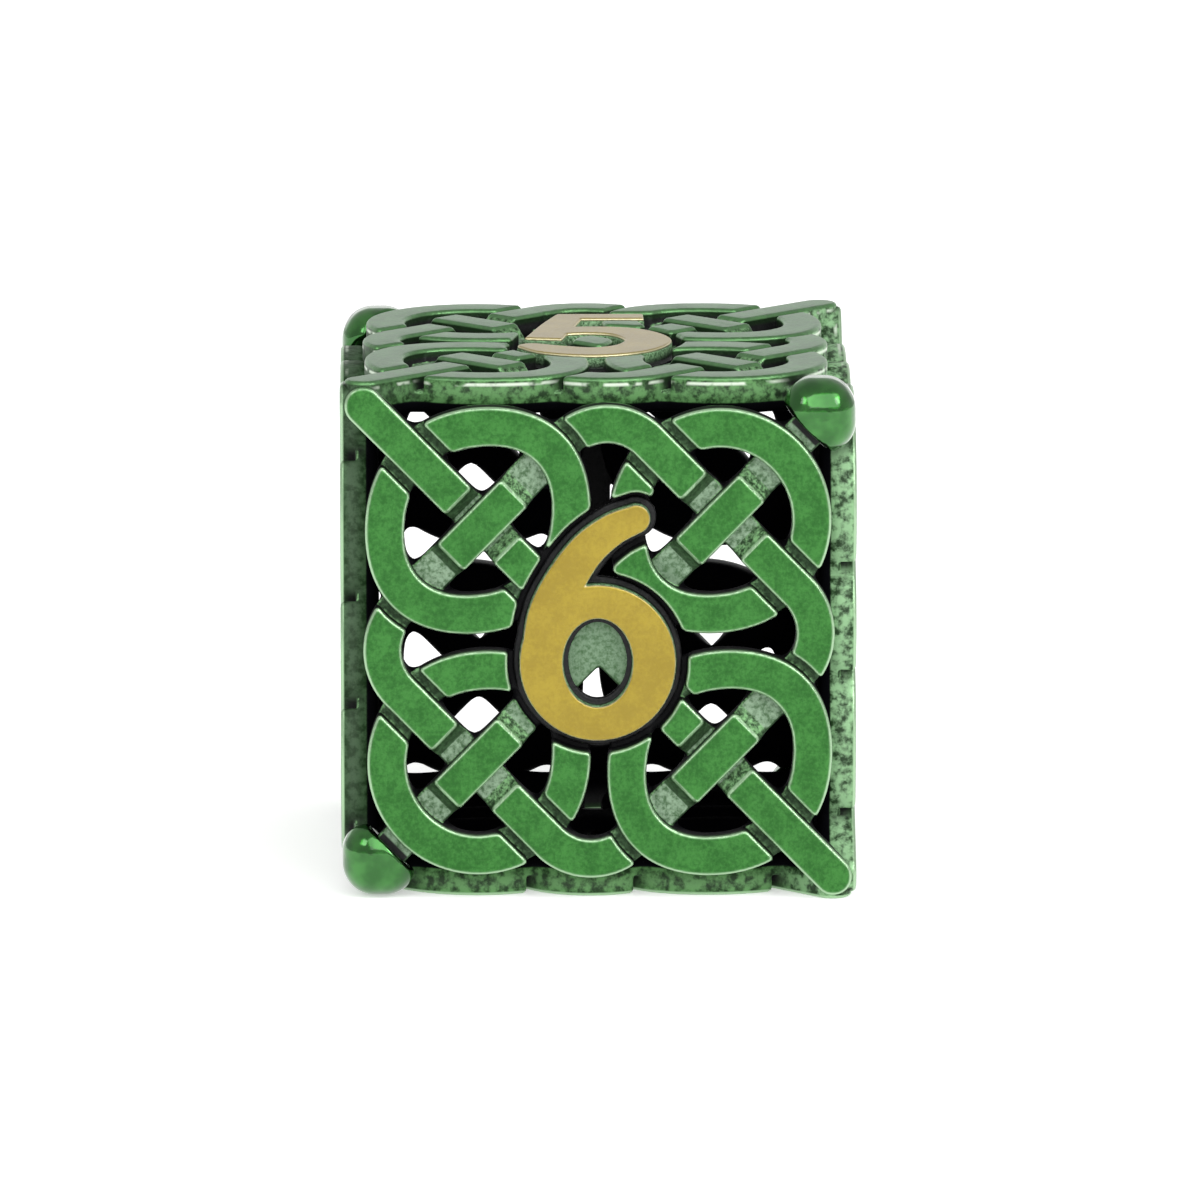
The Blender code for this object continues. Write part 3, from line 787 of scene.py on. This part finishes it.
def attach(piece, node, material):
    piece.data.materials.clear()
    piece.data.materials.append(material)
    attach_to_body(piece, "root")
    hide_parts(node)


def plate_grid():
    side = axis_points(-HALF - MARGIN, HALF + MARGIN, PLATE_CELL)
    x, y = np.meshgrid(side, side, indexing="ij")
    return side, x, y, plate_levels()


def build_plates(material):
    side, x, y, z = plate_grid()
    trim = cube_trim(x, y, z)
    knots = {turned: np.maximum(knot_field(x, y, z, turned), trim) for turned in (False, True)}
    for name, number, normal, up in FACES:
        counter = counter_field(number, x, y)
        moat = np.maximum(numeral_field(number, x, y) - MOAT_GAP, -counter - COUNTER_GAP)
        field = trench(knots[is_turned(normal, up)], counter - COUNTER_GROWTH, COUNTER_DEPTH, z)
        field = trench(field, moat, MOAT_DEPTH, z)
        vertices, quads = surface_net(field, (side, side, z))
        plate = mesh_object(f"{name}_knot", vertices, quads, face_matrix(normal, up), PLATE_KEEP)
        attach(plate, f"{name}_knot_plate", material)


def build_numerals(side_material, gold_material):
    across = axis_points(*NUMERAL_ACROSS, NUMERAL_CELL)
    along = axis_points(*NUMERAL_ALONG, NUMERAL_CELL)
    x, y = np.meshgrid(across, along, indexing="ij")
    for name, number, normal, up in FACES:
        flat = numeral_field(number, x, y)
        place = face_matrix(normal, up)
        z = axis_points(-GOLD_DEPTH - 0.06, 0.06, NUMERAL_CELL / 2)
        gold = round_max(flat[:, :, None], z[None, None, :], GOLD_ROUNDING)
        gold = np.maximum(gold, -GOLD_DEPTH - z[None, None, :])
        vertices, quads = surface_net(gold, (across, along, z))
        piece = mesh_object(f"numeral_{number}_gold", vertices, quads, place, NUMERAL_KEEP)
        attach(piece, f"numeral_{number}_gold_face", gold_material)
        z = axis_points(-MOAT_DEPTH - 0.12, 0.0, NUMERAL_CELL)
        riser = np.maximum(flat[:, :, None] - BOSS_GROWTH,
                           z[None, None, :] + GOLD_DEPTH - BOSS_OVERLAP)
        foot = round_max(flat[:, :, None] - FOOT_GAP, z[None, None, :] - FOOT_TOP, FOOT_ROUNDING)
        boss = np.maximum(np.minimum(riser, foot), -MOAT_DEPTH - BOSS_ROOT - z[None, None, :])
        vertices, quads = surface_net(boss, (across, along, z))
        piece = mesh_object(f"numeral_{number}_side", vertices, quads, place, BOSS_KEEP)
        attach(piece, f"numeral_{number}_boss", side_material)


def build_beads(material):
    reach = HALF - BEAD_RADIUS - BEAD_INSET
    radius = BEAD_RADIUS * BEAD_SWELL
    side = axis_points(reach - radius - MARGIN, HALF + MARGIN, BEAD_CELL)
    x, y, z = np.meshgrid(side, side, side, indexing="ij")
    rounding = radius * BEAD_ROUNDNESS
    half = radius - rounding
    out = [np.maximum(np.abs(axis - reach) - half, 0) for axis in (x, y, z)]
    ball = np.sqrt(out[0] ** 2 + out[1] ** 2 + out[2] ** 2) - rounding
    for first, second in ((x, y), (y, z), (z, x)):
        ball = round_max(ball, BEAD_FLAT - (first + second) / math.sqrt(2), BEAD_FLAT_ROUNDING)
    vertices, quads = surface_net(ball, (side, side, side))
    for name, signs in BEADS:
        mirror = Matrix.Diagonal((*signs, 1))
        corner_quads = quads if signs[0] * signs[1] * signs[2] > 0 else quads[:, ::-1]
        piece = mesh_object(f"{name}_bead", vertices, corner_quads, mirror, BEAD_KEEP)
        attach(piece, f"{name}_corner_bead", material)


# ---- floor, light and camera ---------------------------------------------------------------

def build_floor():
    """A pale sheet of paper under the die, which glows a little as painted light."""
    bottom = cad_low[2] * TALLER
    steps = [(2 * index / PAPER_CELLS - 1) * PAPER_HALF for index in range(PAPER_CELLS + 1)]
    vertices = [(across, along, bottom) for along in steps for across in steps]
    faces = []
    for row in range(PAPER_CELLS):
        for column in range(PAPER_CELLS):
            corner = row * (PAPER_CELLS + 1) + column
            above = corner + PAPER_CELLS + 1
            faces.append((corner, corner + 1, above + 1, above))
    mesh = bpy.data.meshes.new("floor")
    mesh.from_pydata(vertices, [], faces)
    floor = bpy.data.objects.new("floor", mesh)
    bpy.context.scene.collection.objects.link(floor)
    make = Nodes("paper")
    grain = make.noise(0.6, 3.0)
    make.feed(make.shader, "Base Color", make.mix(grain, (0.90, 0.90, 0.90, 1), (0.93, 0.93, 0.93, 1)))
    make.shader.inputs["Roughness"].default_value = 0.9
    # painted light: the paper glows, though it is no lamp
    make.shader.inputs["Emission Color"].default_value = (1.0, 1.0, 1.0, 1)
    make.shader.inputs["Emission Strength"].default_value = PAPER_GLOW
    mesh.materials.append(make.material)


def area_light(name, place, size, power):
    """A rectangular lamp that faces the die."""
    data = bpy.data.lights.new(name, 'AREA')
    data.shape = 'RECTANGLE'
    data.size = size[0]
    data.size_y = size[1]
    data.energy = power
    light = bpy.data.objects.new(name, data)
    light.location = place
    light.rotation_euler = (-Vector(place)).to_track_quat("-Z", "Y").to_euler()
    bpy.context.scene.collection.objects.link(light)


def build_light():
    world = bpy.data.worlds.new("studio")
    world.use_nodes = True
    background = world.node_tree.nodes["Background"]
    background.inputs["Color"].default_value = (1.0, 1.0, 1.0, 1)
    background.inputs["Strength"].default_value = SKY_STRENGTH
    bpy.context.scene.world = world
    for lamp in LAMPS:
        area_light(*lamp)
    bpy.context.scene.view_settings.view_transform = 'Standard'


def build_camera():
    """A long lens, a little above the die and a touch to its left."""
    elevation = math.radians(CAMERA_ELEVATION)
    azimuth = math.radians(CAMERA_AZIMUTH)
    away = Vector((math.sin(azimuth) * math.cos(elevation),
                   -math.cos(azimuth) * math.cos(elevation), math.sin(elevation)))
    turn = away.to_track_quat("Z", "Y")
    right = turn @ Vector((1, 0, 0))
    upward = turn @ Vector((0, 1, 0))
    aim = (right * AIM_RIGHT - upward * AIM_DOWN) * MM
    data = bpy.data.cameras.new("camera")
    data.lens = LENS
    data.sensor_width = SENSOR
    data.clip_start = 0.01
    data.clip_end = 10.0
    camera = bpy.data.objects.new("camera", data)
    camera.location = away * CAMERA_DISTANCE + aim
    camera.rotation_euler = turn.to_euler()
    bpy.context.scene.collection.objects.link(camera)
    bpy.context.scene.camera = camera


build_camera()
build_floor()
build_light()
build_plates(green_plating())
build_numerals(numeral_side(), gold_enamel())
build_beads(bead_plating())
